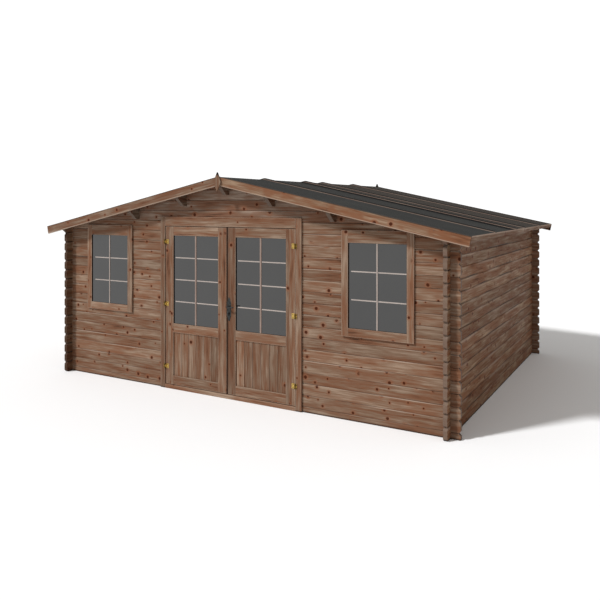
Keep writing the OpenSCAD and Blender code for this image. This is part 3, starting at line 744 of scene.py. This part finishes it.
strip_finish = painted("glazing_strip_paint", strip_paint_and_shade, strip_worn, roughness=0.85, specular=0.04)
for word in ("left", "right"):
    for name, body in ((f"{word}_leaf", f"{word}_leaf"), (f"{word}_window", "cabin")):
        low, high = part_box(f"{name}_glass")
        left, right = low.x + tongue + strip_gap, high.x - tongue - strip_gap
        foot, top = low.z + tongue + strip_gap, high.z - tongue - strip_gap
        inner_left, inner_right = left + left_shade_strip_w + strip_gap, right - strip_t - strip_gap
        face = low.y - strip_gap
        out = Vector((0, -1, 0))
        strips = Pile()
        for x, way, wide in ((left, 1, left_shade_strip_w), (right, -1, strip_t)):
            ends = (foot, top) if way > 0 else (top, foot)
            strips.prism(strip_edge(wide), Vector((x, face, ends[0])), Vector((x, face, ends[1])),
                         Vector((way, 0, 0)), out)
        for z, way in ((foot, 1), (top, -1)):
            ends = (inner_right, inner_left) if way > 0 else (inner_left, inner_right)
            strips.prism(strip_edge(strip_t), Vector((ends[0], face, z)), Vector((ends[1], face, z)),
                         Vector((0, 0, way)), out)
        mesh_piece(f"{name}_glazing_strips", strips, body, strip_finish)

# Glazing bars. Planed pale strips stuck on both faces of the glass that part it into panes: an upright bar
# from rail to rail, and thinner level bars in two lengths, cut short on the left and butted on the right.
level_pale = (0.40, 0.35, 0.32)
level_grain = (0.32, 0.275, 0.25)
window_upright_pale = (0.35, 0.295, 0.265)
window_upright_grain = (0.27, 0.225, 0.20)
door_upright_pale = (0.27, 0.20, 0.17)
door_upright_grain = (0.20, 0.145, 0.12)
bar_grain = (9, 260, 200)
bar_rise = 0.0006
window_upright_w = 0.015
door_upright_w = 0.021
upright_out = 0.0048
level_w = 0.012
level_out = 0.0036
window_rows = 3
door_rows = 4
# the gaps at the level bars' left ends stand for the shade that the frame and the upright cast on them
window_short = {"left": 0.050, "right": 0.024}
door_short = 0.020
upright_short = 0.006
bar_arris = 0.0012
bar_gap = 0.0006


def pale_wood(name, along, across, pale, dark):
    """Bare planed softwood with fine grain along one axis."""
    material, tree, shader = bare_material(name, roughness=0.55, specular=0.12)
    axes = object_axes(tree)
    figure = streaks(tree, (axes[along], axes[across], axes["Y"]), bar_grain, 3)
    tree.links.new(tint(tree, fade(tree, figure, 0.35, 0.65), pale, dark), shader.inputs["Base Color"])
    bump = step(tree, "Bump", {"Strength": 0.3, "Distance": bar_rise, "Height": figure}).outputs[0]
    tree.links.new(bump, shader.inputs["Normal"])
    return material


level_finish = pale_wood("level_bar_wood", "X", "Z", level_pale, level_grain)
window_upright = pale_wood("window_upright_wood", "Z", "X", window_upright_pale, window_upright_grain)
door_upright = pale_wood("door_upright_wood", "Z", "X", door_upright_pale, door_upright_grain)


def bar_outline(wide, out):
    """A planed bar: its width about the middle, its height off the glass, its outer edges taken off."""
    half = wide / 2
    return [(-half, 0), (half, 0), (half, out - bar_arris), (half - bar_arris, out),
            (bar_arris - half, out), (-half, out - bar_arris)]


def glazing_bars(name, glass_node, rows, body, upright_w, short, upright_finish):
    """Bars over the glass that shows: the sheet less its edges in the frame's grooves."""
    low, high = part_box(glass_node)
    edge = tongue + strip_gap + strip_t + bar_gap
    left = low.x + edge + left_shade_strip_w - strip_t
    right, foot, top = high.x - edge, low.z + edge, high.z - edge
    middle = (left + right) / 2
    half = upright_w / 2 + bar_gap
    uprights, levels = Pile(), Pile()
    for face, way in ((low.y - bar_gap, -1), (high.y + bar_gap, 1)):
        out = Vector((0, way, 0))
        uprights.prism(bar_outline(upright_w, upright_out), Vector((middle, face, foot)),
                       Vector((middle, face, top)), Vector((-way, 0, 0)), out)
        for j in range(1, rows):
            z = foot + (top - foot) * j / rows
            for x0, x1 in ((left + short, middle - half), (middle + half + upright_short, right)):
                levels.prism(bar_outline(level_w, level_out), Vector((x0, face, z)), Vector((x1, face, z)),
                             Vector((0, 0, way)), out)
    mesh_piece(f"{name}_upright_bar", uprights, body, upright_finish)
    mesh_piece(f"{name}_level_bars", levels, body, level_finish)


for word in ("left", "right"):
    glazing_bars(f"{word}_door", f"{word}_leaf_glass", door_rows, f"{word}_leaf", door_upright_w, door_short,
                 door_upright)
    glazing_bars(f"{word}_window", f"{word}_window_glass", window_rows, "cabin", window_upright_w,
                 window_short[word], window_upright)

# Hinges. Stamped steel plates rolled round a pin, with a yellow brassy plating. The barrels round the pin
# and the jamb plates are darker, as painted shade. Two slotted screws hold one plate to the leaf, and two
# more hold the other to the jamb.
leaf_brass = (0.60, 0.41, 0.11)
leaf_scuff = (0.44, 0.29, 0.075)
jamb_brass_shade = (0.34, 0.21, 0.05)
jamb_scuff_shade = (0.20, 0.12, 0.028)
knuckle_shade = (0.030, 0.018, 0.006)
barrel_r = 0.0065
knuckle_shade_from = barrel_r * 1.2
knuckle_shade_full = barrel_r * 0.6
knuckle_shade_share = 0.85
hinge_t = 0.003
hinge_half_h = 0.026
hinge_middle_z = 0.980
hinge_plane = 0.0008
screw_paint = (0.010, 0.008, 0.006)
screw_worn = (0.060, 0.042, 0.020)
screw_r = 0.005
screw_rise = 0.0012
screw_slot = 0.0012
screw_apart = 0.030
screw_facets = 8
leaf_screw_in = 0.016
jamb_screw_in = 0.006


def plated(name, clean, scuffed):
    """Yellow plating, scuffed in places, with painted shade over the barrels round the pins."""
    material = mottled(name, clean, scuffed, roughness=0.28, specular=0.5, fine=60.0, detail=4.0,
                       spread=(0.4, 0.65), metal=0.9, rise=0.0003)
    tree = material.node_tree
    pin_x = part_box("right_leaf_hinges")[1].x - barrel_r
    across = calc(tree, "ABSOLUTE", object_axes(tree)["X"])
    from_pin = calc(tree, "ABSOLUTE", calc(tree, "SUBTRACT", across, pin_x))
    knuckle_shaded = calc(tree, "MULTIPLY", fade(tree, from_pin, knuckle_shade_from, knuckle_shade_full), knuckle_shade_share)
    lay_over(material, knuckle_shaded, knuckle_shade)
    return material


def slotted_head(pile, x, face, z):
    """A screw head in two halves with its slot between them, on a face that looks to the front."""
    flat = math.asin(screw_slot / 2 / screw_r)
    arc = [flat + (math.pi - 2 * flat) * i / screw_facets for i in range(screw_facets + 1)]
    foot = Vector((x, face, z))
    for way in (-1, 1):
        half = [(way * screw_r * math.cos(a), way * screw_r * math.sin(a)) for a in arc]
        pile.prism(half, foot, foot - Vector((0, screw_rise, 0)), Vector((1, 0, 0)), Vector((0, 0, 1)))


leaf_plating = plated("leaf_plating", leaf_brass, leaf_scuff)
jamb_plating_shade = plated("jamb_plating_shade", jamb_brass_shade, jamb_scuff_shade)
screw_finish = painted("screw_paint", screw_paint, screw_worn)
frame_low, frame_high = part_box("frame_hinges")
jamb_screws = Pile()
for word, side in (("left", -1), ("right", 1)):
    low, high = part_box(f"{word}_leaf_hinges")
    leaf_x = low.x + leaf_screw_in if side > 0 else high.x - leaf_screw_in
    jamb_x = frame_high.x - jamb_screw_in if side > 0 else frame_low.x + jamb_screw_in
    leaf_screws = Pile()
    for z in (low.z + hinge_half_h, hinge_middle_z, high.z - hinge_half_h):
        for up in (-screw_apart / 2, screw_apart / 2):
            slotted_head(leaf_screws, leaf_x, high.y - hinge_t, z + up)
            slotted_head(jamb_screws, jamb_x, frame_high.y - hinge_t, z + up)
    mesh_piece(f"{word}_leaf_screws", leaf_screws, f"{word}_leaf", screw_finish)
mesh_piece("jamb_screws", jamb_screws, "cabin", screw_finish)
for node, plating in (("frame_hinges", jamb_plating_shade), ("left_leaf_hinges", leaf_plating),
                      ("right_leaf_hinges", leaf_plating)):
    dress(node, plating)
    ease(node, hinge_plane)

# Handle. Black-painted steel plates on both faces of the right leaf, with a keyhole, and a lever on a
# spindle that runs through the leaf.
plate_paint = (0.014, 0.015, 0.014)
plate_worn = (0.042, 0.045, 0.042)
lever_paint = (0.005, 0.005, 0.005)
lever_worn = (0.022, 0.022, 0.021)
handle_plane = 0.001
dress("handle_plates", painted("plate_paint", plate_paint, plate_worn))
dress("handle_lever", painted("lever_paint", lever_paint, lever_worn))
for node in ("handle_plates", "handle_lever"):
    ease(node, handle_plane)

# Lock. A black lock face on each plate, round above with a narrower lug below: painted shade for the dark
# inside of the keyhole. It lies over the source's keyhole and is about twice as large, because the lock
# shows larger in the photograph.
keyhole_shade = (0.001, 0.001, 0.001)
keyhole_shade_mottle = (0.004, 0.003, 0.003)
key_x = 0.033
key_z = 0.942
lock_r = 0.0105
lock_drop = 0.029
lock_out = 0.0012
lock_gap = 0.0001
lock_facets = 20
lug_side = math.radians(60)
lug_half = lock_r / 2
keyhole_shade_finish = mottled("keyhole_shade_finish", keyhole_shade, keyhole_shade_mottle, roughness=0.8, specular=0.02, fine=250.0,
                     detail=3.0)
arc = [lug_side - math.pi / 2 + (math.tau - 2 * lug_side) * i / lock_facets for i in range(lock_facets + 1)]
profile = [(-lug_half, -lock_drop), (lug_half, -lock_drop)]
profile += [(lock_r * math.cos(a), lock_r * math.sin(a)) for a in arc]
low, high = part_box("handle_plates")
lock = Pile()
for face, way in ((low.y, -1), (high.y, 1)):
    foot = Vector((key_x, face + way * lock_gap, key_z))
    lock.prism(profile, foot, foot + Vector((0, way * lock_out, 0)), Vector((-way, 0, 0)), Vector((0, 0, 1)))
mesh_piece("keyhole_shade_sheet", lock, "right_leaf", keyhole_shade_finish)

# The studio. A plain pale floor, a soft sun from the front left, and an even white surround that fills the
# shade with a little warm light.
floor_reach = 60.0
floor_drop = 0.0005
floor_white = (0.915, 0.92, 0.93)
floor_paint, tree, shader = bare_material("floor_paint", roughness=0.9, specular=0.1)
shader.inputs["Base Color"].default_value = (*floor_white, 1.0)
mesh = bpy.data.meshes.new("studio_floor")
corners = [(-floor_reach, -floor_reach), (floor_reach, -floor_reach), (floor_reach, floor_reach),
           (-floor_reach, floor_reach)]
mesh.from_pydata([(x, y, -floor_drop) for x, y in corners], [], [(0, 1, 2, 3)])
mesh.materials.append(floor_paint)
floor = bpy.data.objects.new("studio_floor", mesh)
bpy.context.scene.collection.objects.link(floor)

sun_strength = 3.05
sun_softness = math.radians(7)
sun_height = math.radians(44)
sun_left = math.radians(36)
lamp = bpy.data.lights.new("studio_sun", "SUN")
lamp.energy = sun_strength
lamp.angle = sun_softness
sun = bpy.data.objects.new("studio_sun", lamp)
sun.rotation_euler = (math.pi / 2 - sun_height, 0.0, -sun_left)
bpy.context.scene.collection.objects.link(sun)

fill_strength = 0.50
fill_warm = (1.0, 0.98, 0.95)
seen_strength = 1.1
seen_white = (1.0, 1.0, 1.0)
world = bpy.data.worlds.new("studio_surround")
bpy.context.scene.world = world
world.use_nodes = True
tree = world.node_tree
surround = tree.nodes["Background"]
seen = step(tree, "LightPath").outputs["Is Camera Ray"]
bright = step(tree, "MapRange", {"Value": seen, "To Min": fill_strength, "To Max": seen_strength}).outputs[0]
tree.links.new(tint(tree, seen, fill_warm, seen_white), surround.inputs["Color"])
tree.links.new(bright, surround.inputs["Strength"])
bpy.context.scene.view_settings.view_transform = "Standard"

# The camera. It stands level at a little over two metres in front of the right corner, turned toward the
# door, and its lens is shifted so that the horizon lies where the photograph has it.
photo_px = 600
focal_px = 648.91
horizon_px = 204.98
camera_place = (4.25112, -7.80285, 2.12957)
camera_turn = math.radians(29.84)
film_w = 36.0
far_sight = 300.0
lens = bpy.data.cameras.new("photo_camera")
lens.sensor_width = film_w
lens.lens = focal_px / photo_px * film_w
lens.shift_y = (horizon_px - photo_px / 2) / photo_px
lens.clip_end = far_sight
camera = bpy.data.objects.new("photo_camera", lens)
camera.location = camera_place
camera.rotation_euler = (math.pi / 2, 0.0, camera_turn)
bpy.context.scene.collection.objects.link(camera)
bpy.context.scene.camera = camera
